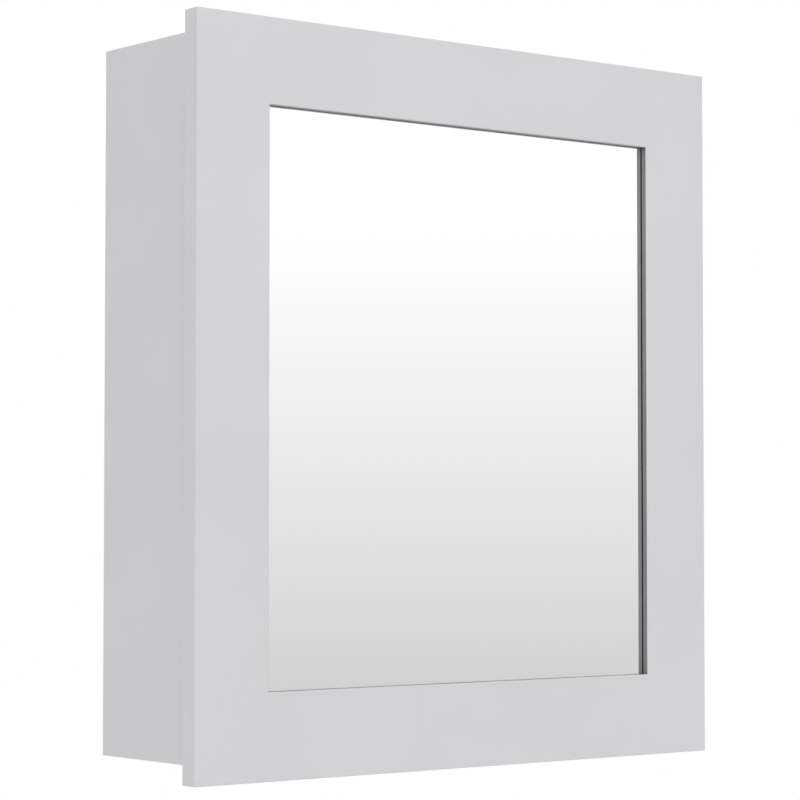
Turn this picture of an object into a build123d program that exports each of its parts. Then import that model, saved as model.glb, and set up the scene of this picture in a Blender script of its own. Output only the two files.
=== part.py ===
from build123d import *

import os

# White medicine cabinet that hangs on a wall, with a mirror door on butt hinges.
# Millimetres. X is to the right seen from the front, Y goes into the wall, Z is up.
# The origin is the middle of the back, in the plane of the wall.

os.makedirs("parts", exist_ok=True)

# Door frame: flat stiles and rails, rabbeted at the back for the mirror
door_width = 508.0
door_height = 558.8
door_thickness = 16.0
frame_width = 65.0
lip_thickness = 5.0
rabbet_width = 8.0
door_edge_round = 0.8
lip_ease = 0.8

# Mirror and what lies behind it in the rabbet, front to back
mirror_clearance = 1.0
mirror_thickness = 4.0
tape_thickness = 0.75
tape_width = 6.6
cushion_thickness = 2.0
backing_thickness = 3.0

# Carcass: two sides with the top and bottom panels between them
door_overhang = 12.7
door_gap = 2.0
body_depth = 123.5
board = 15.0
body_edge_round = 0.6
back_thickness = 3.0
back_rabbet_width = 7.0
back_clearance = 0.3

# Hanging rail under the top panel, and the wall screws through it
rail_height = 60.0
wall_hole_inset = 23.1
wall_hole_radius = 2.75

# Shelves, with three heights each in the two columns of pin holes in a side
shelf_thickness = 12.0
shelf_end_clearance = 1.0
shelf_front_setback = 8.0
shelf_rear_clearance = 2.0
shelf_edge_round = 1.0
pin_hole_pitch = 32.0
pin_hole_depth = 9.0
pin_setback = 25.0

# Shelf pins: a round shank and a bent plate that the shelf rests on
pin_radius = 2.45
pin_shank_length = 8.0
pin_seat_length = 11.0
pin_seat_width = 10.0
pin_leg_height = 9.0
pin_plate = 1.4

# Wooden dowels, 8 mm, and how far they lie from the edges of their boards
dowel_radius = 4.0
dowel_length = 30.0
dowel_side_depth = 10.0
door_dowel_length = 40.0
dowel_end_clearance = 0.5
panel_dowel_inset = 29.0
rail_dowel_inset = 14.0
door_dowel_inset = 15.5

# Cam fittings: a bolt in the side and a disc in the panel
cam_radius = 7.4
cam_height = 12.0
cam_hole_clearance = 0.1
cam_distance = 24.0
cam_slot_length = 9.0
cam_slot_width = 1.6
cam_slot_depth = 2.0
bolt_thread_radius = 2.5
bolt_thread_length = 11.0
bolt_collar_radius = 3.6
bolt_collar_length = 1.5
bolt_neck_radius = 2.2
bolt_head_radius = 3.3
bolt_head_length = 3.0
bolt_hole_clearance = 0.4

# Thin nails driven flush through the back panel
nail_radius = 0.7
nail_length = 16.0
nail_corner_inset = 75.0

# Butt hinges: five knuckles rolled round a pin
leaf_thickness = 1.2
leaf_width = 17.0
leaf_corner_round = 2.0
hinge_height = 50.0
hinge_inset = 80.0
knuckle_count = 5
knuckle_gap = 0.3
pin_bar_radius = 1.75
pin_bar_clearance = 0.05
pin_tip_radius = 2.5
pin_tip_height = 1.6
pin_tip_chamfer = 0.9
barrel_clearance = 0.4
mortise_clearance = 0.15
leaf_screw_inset = 8.0

# Screws, as plain shanks and heads
screw_clearance = 0.05
leaf_screw_radius = 1.4
leaf_screw_head_radius = 2.6
leaf_screw_length = 12.0
leaf_screw_head_angle = 90.0
pan_screw_radius = 1.4
pan_screw_head_radius = 2.7
pan_screw_head_height = 1.5
pan_screw_length = 10.0

# Retaining clips behind the mirror: a foot on the frame and a lowered tongue
clip_foot = 12.0
clip_tongue = 7.0
clip_width = 10.0
clip_plate = 1.5
clip_wall_clearance = 0.3
clip_corner_cut = 1.5
clip_inset = 90.0

# Magnetic catch inside the left side, and its strike plate on the door
catch_height = 46.0
catch_width = 13.0
catch_depth = 15.0
catch_setback = 0.6
catch_corner_round = 2.0
catch_ear_thickness = 5.0
catch_nose_height = 27.0
magnet_height = 22.0
magnet_thickness = 4.5
magnet_depth = 10.0
pole_height = 24.0
pole_thickness = 1.2
pole_depth = 11.0
pocket_clearance = 0.1
strike_gap = 0.3
strike_height = 38.0
strike_width = 12.0
strike_thickness = 1.0
strike_corner_round = 2.0

# Soft bumpers on the door's back at the latch side
bumper_radius = 4.5
bumper_rest_gap = 0.3
bumper_inset = 22.0
bumper_edge_chamfer = 0.6

# Carcass sizes and planes that follow from these
body_width = door_width - 2 * door_overhang
body_height = door_height - 2 * door_overhang
inner_width = body_width - 2 * board
inner_height = body_height - 2 * board
body_front = -body_depth
body_middle_y = -body_depth / 2
panel_middle_z = (body_height - board) / 2
back_front = -back_thickness
back_recess_width = inner_width + 2 * back_rabbet_width
back_recess_height = inner_height + 2 * back_rabbet_width

# Door planes and sizes that follow
door_back = body_front - door_gap
door_front = door_back - door_thickness
door_middle_y = (door_back + door_front) / 2
opening_width = door_width - 2 * frame_width
opening_height = door_height - 2 * frame_width
pocket_width = opening_width + 2 * rabbet_width
pocket_height = opening_height + 2 * rabbet_width
lip_back = door_front + lip_thickness
mirror_front = lip_back + tape_thickness
mirror_back = mirror_front + mirror_thickness
cushion_back = mirror_back + cushion_thickness
backing_back = cushion_back + backing_thickness
mirror_width = pocket_width - 2 * mirror_clearance
mirror_height = pocket_height - 2 * mirror_clearance

# Hinge axis: each leaf is let in flush and runs off its barrel at a tangent
knuckle_radius = pin_bar_radius + pin_bar_clearance + leaf_thickness
hinge_x = body_width / 2 - leaf_thickness + knuckle_radius
hinge_y = door_back - leaf_thickness + knuckle_radius
hinge_z = door_height / 2 - hinge_inset
leaf_start = knuckle_radius + barrel_clearance
knuckle_pitch = (hinge_height + knuckle_gap) / knuckle_count
knuckle_length = knuckle_pitch - knuckle_gap
leaf_screw_reach = (leaf_start + leaf_width) / 2
leaf_screw_pitch = (hinge_height - 2 * leaf_screw_inset) / 2

# Planes that pieces are set out on
right_outside = Plane.YZ.offset(body_width / 2)
left_inside = Plane.YZ.offset(-inner_width / 2)
right_inside = Plane.YZ.offset(inner_width / 2)
door_rear = Plane.back.offset(door_back)
wall = Plane.back


def countersunk_hole():
    """Clearance hole for a leaf screw, whose head lies flush with the placing plane."""
    CounterSinkHole(
        leaf_screw_radius + screw_clearance,
        leaf_screw_head_radius + screw_clearance,
        leaf_screw_length + screw_clearance,
        leaf_screw_head_angle,
    )


def dowel_hole(depth):
    """Hole for the stretch of a dowel that goes this deep past the joint."""
    Hole(dowel_radius + screw_clearance, depth + dowel_end_clearance)


def back_rabbet():
    """Recess for the back panel, cut from whichever board it crosses."""
    with Locations((0, back_front / 2, 0)):
        Box(back_recess_width, back_thickness, back_recess_height, mode=Mode.SUBTRACT)


def nail_hole():
    """Hole for a nail, driven in from the back face."""
    Hole(nail_radius + screw_clearance, nail_length + screw_clearance)


def pan_screw_hole():
    """Pilot hole for a pan-head screw."""
    Hole(pan_screw_radius + screw_clearance, pan_screw_length + screw_clearance)


def finish(builder, name):
    """Label a finished piece and write it."""
    builder.part.label = name
    export_step(builder.part, f"parts/{name}.step")


# Places of the dowels, as planes across each joint, with Z into the cabinet
rail_middle_y = back_front - board / 2
rail_middle_z = (inner_height - rail_height) / 2
corner_dowels = [
    Plane(
        origin=(
            side * inner_width / 2,
            body_middle_y + along * (body_depth / 2 - panel_dowel_inset),
            level * panel_middle_z,
        ),
        z_dir=(-side, 0, 0),
    )
    for side in (-1, 1)
    for along in (-1, 1)
    for level in (-1, 1)
]
rail_dowels = [
    Plane(
        origin=(
            side * inner_width / 2,
            rail_middle_y,
            rail_middle_z + level * (rail_height / 2 - rail_dowel_inset),
        ),
        z_dir=(-side, 0, 0),
    )
    for side in (-1, 1)
    for level in (-1, 1)
]
door_dowel_levels = (door_height / 2 - door_dowel_inset, pocket_height / 2 + door_dowel_inset)
door_dowels = [
    Plane.YZ.offset(side * opening_width / 2) * Pos(door_middle_y, level * height)
    for side in (-1, 1)
    for level in (-1, 1)
    for height in door_dowel_levels
]

# Places of the cam fittings: bolts across the side's face, discs from outside the panel
cam_x = inner_width / 2 - cam_distance
cam_bolt_places = [
    Plane(
        origin=(side * inner_width / 2, body_middle_y, level * panel_middle_z),
        z_dir=(-side, 0, 0),
    )
    for side in (-1, 1)
    for level in (-1, 1)
]
cam_places = [
    Plane(
        origin=(side * cam_x, body_middle_y, level * body_height / 2),
        x_dir=(side, 0, 0),
        z_dir=(0, 0, level),
    )
    for side in (-1, 1)
    for level in (-1, 1)
]

# Places of the nails, along the middle of the rabbet
nail_x = (inner_width + back_rabbet_width) / 2
nail_z = (inner_height + back_rabbet_width) / 2
nail_places = [
    wall * Pos(side * nail_x, row * (nail_z - nail_corner_inset))
    for side in (-1, 1)
    for row in (-1, 0, 1)
]
nail_places += [
    wall * Pos(column * (nail_x - nail_corner_inset), level * nail_z)
    for level in (-1, 1)
    for column in (-1, 0, 1)
]

# Places of the shelf pin holes: the bays are alike, and each shelf has three heights
shelf_levels = {"lower_shelf": -inner_height / 6, "upper_shelf": inner_height / 6}
shelf_pin_places = [
    (y, level)
    for y in (body_front + pin_setback, -pin_setback)
    for level in shelf_levels.values()
]
pin_hole_places = [
    (y, level + step * pin_hole_pitch)
    for y, level in shelf_pin_places
    for step in (-1, 0, 1)
]

# Places of the hinge screws, three to a leaf
hinge_levels = (hinge_z, -hinge_z)
cabinet_leaf_screw_places = [
    right_outside * Pos(hinge_y + leaf_screw_reach, level + row * leaf_screw_pitch)
    for level in hinge_levels
    for row in (-1, 0, 1)
]
door_leaf_screw_places = [
    door_rear * Pos(leaf_screw_reach - hinge_x, level + row * leaf_screw_pitch)
    for level in hinge_levels
    for row in (-1, 0, 1)
]

# Places of the catch and its strike, half way up the left side
catch_x = -inner_width / 2 + catch_width / 2
catch_front = body_front + catch_setback
catch_middle_y = catch_front + catch_depth / 2
catch_ear_middle = (catch_height + catch_nose_height) / 4
catch_screw_places = [
    left_inside.offset(catch_ear_thickness) * Pos(catch_middle_y, level * catch_ear_middle)
    for level in (-1, 1)
]
strike_plane = Plane.back.offset(door_back + strike_thickness)
strike_screw_places = [strike_plane * Pos(-catch_x, 0)]

# Places of the clips, with local X towards the middle of the mirror
clip_places = [
    Plane(
        origin=(side * pocket_width / 2, door_back, level * (pocket_height / 2 - clip_inset)),
        x_dir=(-side, 0, 0),
        z_dir=(0, 1, 0),
    )
    for side in (-1, 1)
    for level in (-1, 1)
]
clip_places += [
    Plane(
        origin=(side * (pocket_width / 2 - clip_inset), door_back, level * pocket_height / 2),
        x_dir=(0, 0, -level),
        z_dir=(0, 1, 0),
    )
    for side in (-1, 1)
    for level in (-1, 1)
]
clip_screw_places = [place * Pos(-clip_foot / 2, 0, clip_plate) for place in clip_places]

# Left side: pin holes, dowel and bolt holes, and the catch's screw holes
with BuildPart() as left_side:
    with Locations(((board - body_width) / 2, body_middle_y, 0)):
        Box(board, body_depth, body_height)
    fillet(left_side.faces().sort_by(Axis.X)[0].edges(), body_edge_round)
    back_rabbet()
    with Locations(*[left_inside * Pos(y, z) for y, z in pin_hole_places]):
        Hole(pin_radius + screw_clearance, pin_hole_depth)
    with Locations(*corner_dowels, *rail_dowels):
        dowel_hole(dowel_side_depth)
    with Locations(*cam_bolt_places):
        Hole(bolt_thread_radius + screw_clearance, bolt_thread_length + screw_clearance)
    with Locations(*nail_places):
        nail_hole()
    with Locations(*catch_screw_places):
        pan_screw_hole()
finish(left_side, "left_side")

# Right side: as the left, with the hinge leaves let into its outer face
with BuildPart() as right_side:
    with Locations(((body_width - board) / 2, body_middle_y, 0)):
        Box(board, body_depth, body_height)
    fillet(right_side.faces().sort_by(Axis.X)[-1].edges(), body_edge_round)
    back_rabbet()
    with Locations(*[right_inside * Pos(y, z) for y, z in pin_hole_places]):
        Hole(pin_radius + screw_clearance, pin_hole_depth)
    with Locations(*corner_dowels, *rail_dowels):
        dowel_hole(dowel_side_depth)
    with Locations(*cam_bolt_places):
        Hole(bolt_thread_radius + screw_clearance, bolt_thread_length + screw_clearance)
    with Locations(*nail_places):
        nail_hole()
    mortise_length = leaf_width + mortise_clearance - (body_front - hinge_y)
    for level in hinge_levels:
        with Locations((body_width / 2, body_front + mortise_length / 2, level)):
            Box(
                2 * leaf_thickness,
                mortise_length,
                hinge_height + 2 * mortise_clearance,
                mode=Mode.SUBTRACT,
            )
        with Locations((hinge_x, hinge_y, level)):
            Cylinder(
                knuckle_radius + barrel_clearance,
                hinge_height + 2 * pin_tip_height + 2 * barrel_clearance,
                mode=Mode.SUBTRACT,
            )
    with Locations(*cabinet_leaf_screw_places):
        countersunk_hole()
finish(right_side, "right_side")

# Top and bottom panels: dowelled to the sides, with a cam bored near each end
for name, level in (("top_panel", 1), ("bottom_panel", -1)):
    with BuildPart() as panel:
        with Locations((0, body_middle_y, level * panel_middle_z)):
            Box(inner_width, body_depth, board)
        back_rabbet()
        with Locations(*corner_dowels):
            dowel_hole(dowel_length - dowel_side_depth)
        with Locations(*cam_bolt_places):
            Hole(bolt_collar_radius + bolt_hole_clearance, cam_distance)
        with Locations(*cam_places):
            Hole(cam_radius + cam_hole_clearance, cam_height + cam_hole_clearance)
        with Locations(*nail_places):
            nail_hole()
    finish(panel, name)

# Back panel: thin hardboard in the rabbet, flush with the boards' back edges
with BuildPart() as back_panel:
    with Locations((0, back_front / 2, 0)):
        Box(
            back_recess_width - 2 * back_clearance,
            back_thickness,
            back_recess_height - 2 * back_clearance,
        )
    with Locations(*nail_places):
        nail_hole()
    with Locations(wall * Pos(0, rail_middle_z)):
        with GridLocations(inner_width - 2 * wall_hole_inset, 0, 2, 1):
            Hole(wall_hole_radius, back_thickness)
finish(back_panel, "back_panel")

# Hanging rail: takes the two wall screws
with BuildPart() as hanging_rail:
    with Locations((0, rail_middle_y, rail_middle_z)):
        Box(inner_width, board, rail_height)
    with Locations(*rail_dowels):
        dowel_hole(dowel_length - dowel_side_depth)
    with Locations(wall * Pos(0, rail_middle_z)):
        with GridLocations(inner_width - 2 * wall_hole_inset, 0, 2, 1):
            Hole(wall_hole_radius, back_thickness + board)
finish(hanging_rail, "hanging_rail")

# Shelves: loose boards on four pins each
shelf_front = body_front + shelf_front_setback
shelf_back = back_front - shelf_rear_clearance
for name, level in shelf_levels.items():
    shelf_middle_z = level + pin_radius + shelf_thickness / 2
    with BuildPart() as shelf:
        with Locations((0, (shelf_front + shelf_back) / 2, shelf_middle_z)):
            Box(inner_width - 2 * shelf_end_clearance, shelf_back - shelf_front, shelf_thickness)
        fillet(shelf.edges().filter_by(Axis.X).group_by(Axis.Y)[0], shelf_edge_round)
    finish(shelf, name)

# Shelf pins: the shank goes in the side, the bent plate carries the shelf
with BuildPart() as shelf_pin:
    with BuildSketch(Plane.XZ):
        with Locations((0, pin_radius)):
            Rectangle(pin_seat_length, pin_plate, align=(Align.MIN, Align.MAX))
            Rectangle(pin_plate, pin_leg_height, align=(Align.MIN, Align.MAX))
    extrude(amount=pin_seat_width / 2, both=True)
    chamfer(shelf_pin.edges().filter_by(Axis.Z).group_by(Axis.X)[-1], pin_seat_width / 4)
    with Locations(Plane.YZ):
        Cylinder(pin_radius, pin_shank_length, align=(Align.CENTER, Align.CENTER, Align.MAX))
with BuildPart() as shelf_pins:
    with Locations(*[(-inner_width / 2, y, z) for y, z in shelf_pin_places]):
        add(shelf_pin.part)
    mirror(about=Plane.YZ)
finish(shelf_pins, "shelf_pins")

# Dowels of the carcass corners and of the rail
dowel_shift = dowel_length / 2 - dowel_side_depth
with BuildPart() as carcass_dowels:
    with Locations(*[place.offset(dowel_shift) for place in corner_dowels + rail_dowels]):
        Cylinder(dowel_radius, dowel_length)
finish(carcass_dowels, "carcass_dowels")

# Cam bolts: thread in the side, collar, neck and a round head that the cam grips
with BuildPart() as cam_bolt:
    with BuildSketch(Plane.XZ):
        with BuildLine():
            Polyline(
                (0, -bolt_thread_length),
                (bolt_thread_radius, -bolt_thread_length),
                (bolt_thread_radius, 0),
                (bolt_collar_radius, 0),
                (bolt_collar_radius, bolt_collar_length),
                (bolt_neck_radius, bolt_collar_length),
                (bolt_neck_radius, cam_distance - bolt_head_length / 2),
                (bolt_head_radius, cam_distance - bolt_head_length / 2),
                (bolt_head_radius, cam_distance + bolt_head_length / 2),
                (0, cam_distance + bolt_head_length / 2),
                close=True,
            )
        make_face()
    revolve(axis=Axis.Z)
with BuildPart() as cam_bolts:
    with Locations(*cam_bolt_places):
        add(cam_bolt.part)
finish(cam_bolts, "cam_bolts")

# Cam discs: driven from outside, with a way in for the bolt's head and a jaw behind it
head_room = bolt_head_radius + cam_hole_clearance
with BuildPart() as cam_disc:
    Cylinder(cam_radius, cam_height, align=(Align.CENTER, Align.CENTER, Align.MAX))
    with Locations(Plane(origin=(0, 0, -board / 2), z_dir=(1, 0, 0))):
        Cylinder(
            head_room,
            cam_radius + bolt_head_length,
            align=(Align.CENTER, Align.CENTER, Align.MIN),
            mode=Mode.SUBTRACT,
        )
        Cylinder(head_room, bolt_head_length + 2 * cam_hole_clearance, mode=Mode.SUBTRACT)
    for length, width in ((cam_slot_length, cam_slot_width), (cam_slot_width, cam_slot_length)):
        Box(length, width, 2 * cam_slot_depth, mode=Mode.SUBTRACT)
with BuildPart() as cam_discs:
    with Locations(*cam_places):
        add(cam_disc.part)
finish(cam_discs, "cam_discs")

# Nails of the back panel, flush with its face
with BuildPart() as back_panel_nails:
    with Locations(*nail_places):
        Cylinder(nail_radius, nail_length, align=(Align.CENTER, Align.CENTER, Align.MAX))
finish(back_panel_nails, "back_panel_nails")


def knuckles(first, z):
    """Every second knuckle of a hinge as planes at its lower end."""
    bottom = z - hinge_height / 2
    return [bottom + index * knuckle_pitch for index in range(first, knuckle_count, 2)]


# Hinge leaves and pins: the cabinet leaf has the outer and middle knuckles
for place, level in (("upper", hinge_z), ("lower", -hinge_z)):
    bottom = level - hinge_height / 2
    plate_length = leaf_width - leaf_start
    with BuildPart() as cabinet_leaf:
        with BuildSketch(Plane.XY.offset(bottom)):
            with Locations((body_width / 2, hinge_y + leaf_start)):
                Rectangle(leaf_thickness, plate_length, align=(Align.MAX, Align.MIN))
        extrude(amount=hinge_height)
        fillet(
            cabinet_leaf.edges().filter_by(Axis.X).group_by(Axis.Y)[-1],
            leaf_corner_round,
        )
        for knuckle_z in knuckles(0, level):
            with BuildSketch(Plane.XY.offset(knuckle_z)):
                with Locations((hinge_x, hinge_y)):
                    Circle(knuckle_radius)
                with Locations((body_width / 2, hinge_y)):
                    Rectangle(leaf_thickness, leaf_start, align=(Align.MAX, Align.MIN))
            extrude(amount=knuckle_length)
        with Locations((hinge_x, hinge_y, level)):
            Cylinder(
                pin_bar_radius + pin_bar_clearance,
                2 * hinge_height,
                mode=Mode.SUBTRACT,
            )
        with Locations(*cabinet_leaf_screw_places):
            countersunk_hole()
    finish(cabinet_leaf, f"{place}_hinge_cabinet_leaf")

    with BuildPart() as door_leaf:
        with BuildSketch(Plane.XY.offset(bottom)):
            with Locations((hinge_x - leaf_start, door_back)):
                Rectangle(plate_length, leaf_thickness, align=(Align.MAX, Align.MAX))
        extrude(amount=hinge_height)
        fillet(
            door_leaf.edges().filter_by(Axis.Y).group_by(Axis.X)[0],
            leaf_corner_round,
        )
        for knuckle_z in knuckles(1, level):
            with BuildSketch(Plane.XY.offset(knuckle_z)):
                with Locations((hinge_x, hinge_y)):
                    Circle(knuckle_radius)
                with Locations((hinge_x, door_back)):
                    Rectangle(leaf_start, leaf_thickness, align=(Align.MAX, Align.MAX))
            extrude(amount=knuckle_length)
        with Locations((hinge_x, hinge_y, level)):
            Cylinder(
                pin_bar_radius + pin_bar_clearance,
                2 * hinge_height,
                mode=Mode.SUBTRACT,
            )
        with Locations(*door_leaf_screw_places):
            countersunk_hole()
    finish(door_leaf, f"{place}_hinge_door_leaf")

    with BuildPart() as hinge_pin:
        with Locations((hinge_x, hinge_y, level)):
            Cylinder(pin_bar_radius, hinge_height)
        for end in (-1, 1):
            tip_z = level + end * (hinge_height + pin_tip_height) / 2
            with Locations((hinge_x, hinge_y, tip_z)):
                Cylinder(pin_tip_radius, pin_tip_height)
        rims = hinge_pin.edges().filter_by(GeomType.CIRCLE).group_by(Axis.Z)
        chamfer(rims[0] + rims[-1], pin_tip_chamfer)
    finish(hinge_pin, f"{place}_hinge_pin")

# Countersunk screws of the leaves, driven towards -Z of their places
with BuildPart() as leaf_screw:
    with BuildSketch(Plane.XZ):
        with BuildLine():
            Polyline(
                (0, 0),
                (leaf_screw_head_radius, 0),
                (leaf_screw_radius, leaf_screw_radius - leaf_screw_head_radius),
                (leaf_screw_radius, -leaf_screw_length),
                (0, -leaf_screw_length),
                close=True,
            )
        make_face()
    revolve(axis=Axis.Z)
with BuildPart() as cabinet_leaf_screws:
    with Locations(*cabinet_leaf_screw_places):
        add(leaf_screw.part)
finish(cabinet_leaf_screws, "cabinet_leaf_screws")
with BuildPart() as door_leaf_screws:
    with Locations(*door_leaf_screw_places):
        add(leaf_screw.part)
finish(door_leaf_screws, "door_leaf_screws")

# Magnetic catch: a moulded housing with thin screw ears and a nose for the magnet
magnet_pocket_height = pole_height + 2 * pocket_clearance
magnet_pocket_width = magnet_thickness + 2 * pole_thickness + 2 * pocket_clearance
on_side = (Align.MIN, Align.CENTER, Align.CENTER)
with BuildPart() as catch_housing:
    with Locations((-inner_width / 2, catch_middle_y, 0)):
        Box(catch_ear_thickness, catch_depth, catch_height, align=on_side)
        Box(catch_width, catch_depth, catch_nose_height, align=on_side)
    fillet(catch_housing.edges().filter_by(Axis.X).group_by(Axis.Z)[0], catch_corner_round)
    fillet(catch_housing.edges().filter_by(Axis.X).group_by(Axis.Z)[-1], catch_corner_round)
    fillet(catch_housing.edges().filter_by(Axis.Y).group_by(Axis.X)[-1], catch_corner_round)
    with Locations((catch_x, catch_front, 0)):
        Box(
            magnet_pocket_width,
            pole_depth,
            magnet_pocket_height,
            align=(Align.CENTER, Align.MIN, Align.CENTER),
            mode=Mode.SUBTRACT,
        )
    with Locations(*catch_screw_places):
        Hole(pan_screw_radius + screw_clearance, catch_ear_thickness)
finish(catch_housing, "catch_housing")

# Pole plates stand out of the nose to meet the strike; the magnet lies between them
pole_front = door_back + strike_thickness + strike_gap
pole_back = catch_front + pole_depth
with BuildPart() as catch_pole_plates:
    with Locations((catch_x, pole_back, 0)):
        with GridLocations(magnet_thickness + pole_thickness, 0, 2, 1):
            Box(
                pole_thickness,
                pole_back - pole_front,
                pole_height,
                align=(Align.CENTER, Align.MAX, Align.CENTER),
            )
finish(catch_pole_plates, "catch_pole_plates")
with BuildPart() as catch_magnet:
    with Locations((catch_x, pole_back, 0)):
        Box(
            magnet_thickness,
            magnet_depth,
            magnet_height,
            align=(Align.CENTER, Align.MAX, Align.CENTER),
        )
finish(catch_magnet, "catch_magnet")

# Pan-head screws, with the underside of the head in the placing plane
with BuildPart() as pan_screw:
    Cylinder(
        pan_screw_head_radius,
        pan_screw_head_height,
        align=(Align.CENTER, Align.CENTER, Align.MIN),
    )
    Cylinder(pan_screw_radius, pan_screw_length, align=(Align.CENTER, Align.CENTER, Align.MAX))
with BuildPart() as catch_screws:
    with Locations(*catch_screw_places):
        add(pan_screw.part)
finish(catch_screws, "catch_screws")

# Strike plate on the door's back, opposite the poles
with BuildPart() as strike_plate:
    with Locations((catch_x, door_back, 0)):
        Box(
            strike_width,
            strike_thickness,
            strike_height,
            align=(Align.CENTER, Align.MIN, Align.CENTER),
        )
    fillet(strike_plate.edges().filter_by(Axis.Y), strike_corner_round)
    with Locations(*strike_screw_places):
        countersunk_hole()
finish(strike_plate, "strike_plate")
with BuildPart() as strike_screw:
    with Locations(*strike_screw_places):
        add(leaf_screw.part)
finish(strike_screw, "strike_screw")


def mirror_pocket():
    """Rabbet behind the lip, and the eased front arris of the opening."""
    with Locations((0, (lip_back + door_back) / 2, 0)):
        Box(pocket_width, door_back - lip_back, pocket_height, mode=Mode.SUBTRACT)
    with BuildSketch(Plane.XZ.offset(-door_front)) as arris:
        Rectangle(opening_width + 2 * lip_ease, opening_height + 2 * lip_ease)
    extrude(arris.sketch, amount=lip_ease, dir=(0, 1, 0), taper=45, mode=Mode.SUBTRACT)


# Stiles: full height, rounded along the outer arrises
for name, side in (("left_stile", -1), ("right_stile", 1)):
    with BuildPart() as stile:
        with Locations((side * (door_width - frame_width) / 2, door_middle_y, 0)):
            Box(frame_width, door_thickness, door_height)
        outer_face = stile.faces().sort_by(Axis.X)[-1 if side > 0 else 0]
        fillet(outer_face.edges() + stile.edges().filter_by(Axis.X), door_edge_round)
        mirror_pocket()
        with Locations(*door_dowels):
            dowel_hole(door_dowel_length / 2)
        with Locations(*clip_screw_places):
            pan_screw_hole()
        if side < 0:
            with Locations(*strike_screw_places):
                countersunk_hole()
        else:
            leaf_reach = leaf_width + mortise_clearance
            for level in hinge_levels:
                with Locations((hinge_x - leaf_reach, door_back, level)):
                    Box(
                        leaf_reach,
                        2 * leaf_thickness,
                        hinge_height + 2 * mortise_clearance,
                        align=(Align.MIN, Align.CENTER, Align.CENTER),
                        mode=Mode.SUBTRACT,
                    )
                with Locations((hinge_x, hinge_y, level)):
                    Cylinder(
                        knuckle_radius + barrel_clearance,
                        hinge_height + 2 * pin_tip_height + 2 * barrel_clearance,
                        mode=Mode.SUBTRACT,
                    )
            with Locations(*door_leaf_screw_places):
                countersunk_hole()
    finish(stile, name)

# Rails: between the stiles
for name, level in (("top_rail", 1), ("bottom_rail", -1)):
    with BuildPart() as rail:
        with Locations((0, door_middle_y, level * (door_height - frame_width) / 2)):
            Box(opening_width, door_thickness, frame_width)
        outer_face = rail.faces().sort_by(Axis.Z)[-1 if level > 0 else 0]
        fillet(outer_face.edges().filter_by(Axis.X), door_edge_round)
        mirror_pocket()
        with Locations(*door_dowels):
            dowel_hole(door_dowel_length / 2)
        with Locations(*clip_screw_places):
            pan_screw_hole()
    finish(rail, name)

with BuildPart() as door_frame_dowels:
    with Locations(*door_dowels):
        Cylinder(dowel_radius, door_dowel_length)
finish(door_frame_dowels, "door_frame_dowels")

# Layers in the rabbet: tape on the lip, mirror, foam and hardboard
with BuildPart() as glazing_tape:
    with BuildSketch(Plane.XZ.offset(-lip_back)):
        Rectangle(mirror_width, mirror_height)
        Rectangle(mirror_width - 2 * tape_width, mirror_height - 2 * tape_width, mode=Mode.SUBTRACT)
    extrude(amount=-tape_thickness)
finish(glazing_tape, "glazing_tape")

for name, front, thickness in (
    ("mirror", mirror_front, mirror_thickness),
    ("cushion_sheet", mirror_back, cushion_thickness),
    ("backing_board", cushion_back, backing_thickness),
):
    with BuildPart() as layer:
        with Locations((0, front + thickness / 2, 0)):
            Box(mirror_width, thickness, mirror_height)
    finish(layer, name)

# Clips: a foot screwed to the frame and a tongue that presses on the hardboard
tongue_drop = door_back - backing_back
with BuildPart() as clip:
    with BuildSketch(Plane.XZ):
        with BuildLine():
            Polyline(
                (-clip_foot, 0),
                (clip_wall_clearance, 0),
                (clip_wall_clearance, -tongue_drop),
                (clip_tongue, -tongue_drop),
                (clip_tongue, clip_plate - tongue_drop),
                (clip_wall_clearance + clip_plate, clip_plate - tongue_drop),
                (clip_wall_clearance + clip_plate, clip_plate),
                (-clip_foot, clip_plate),
                close=True,
            )
        make_face()
    extrude(amount=clip_width / 2, both=True)
    chamfer(clip.edges().filter_by(Axis.Z).group_by(Axis.X)[0], clip_corner_cut)
    chamfer(clip.edges().filter_by(Axis.Z).group_by(Axis.X)[-1], clip_corner_cut)
    with Locations((-clip_foot / 2, 0, clip_plate)):
        Hole(pan_screw_radius + screw_clearance, 2 * clip_plate)
with BuildPart() as retaining_clips:
    with Locations(*clip_places):
        add(clip.part)
finish(retaining_clips, "retaining_clips")
with BuildPart() as clip_screws:
    with Locations(*clip_screw_places):
        add(pan_screw.part)
finish(clip_screws, "clip_screws")

# Bumpers: soft pads on the door that meet the left side's front edge
bumper_x = (board - body_width) / 2
bumper_z = body_height / 2 - bumper_inset
with BuildPart() as door_bumpers:
    with Locations(door_rear * Pos(-bumper_x, 0)):
        with GridLocations(0, 2 * bumper_z, 1, 2):
            Cylinder(
                bumper_radius,
                door_gap - bumper_rest_gap,
                align=(Align.CENTER, Align.CENTER, Align.MIN),
            )
    chamfer(
        door_bumpers.edges().filter_by(GeomType.CIRCLE).group_by(Axis.Y)[-1],
        bumper_edge_chamfer,
    )
finish(door_bumpers, "door_bumpers")
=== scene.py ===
import math

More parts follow.
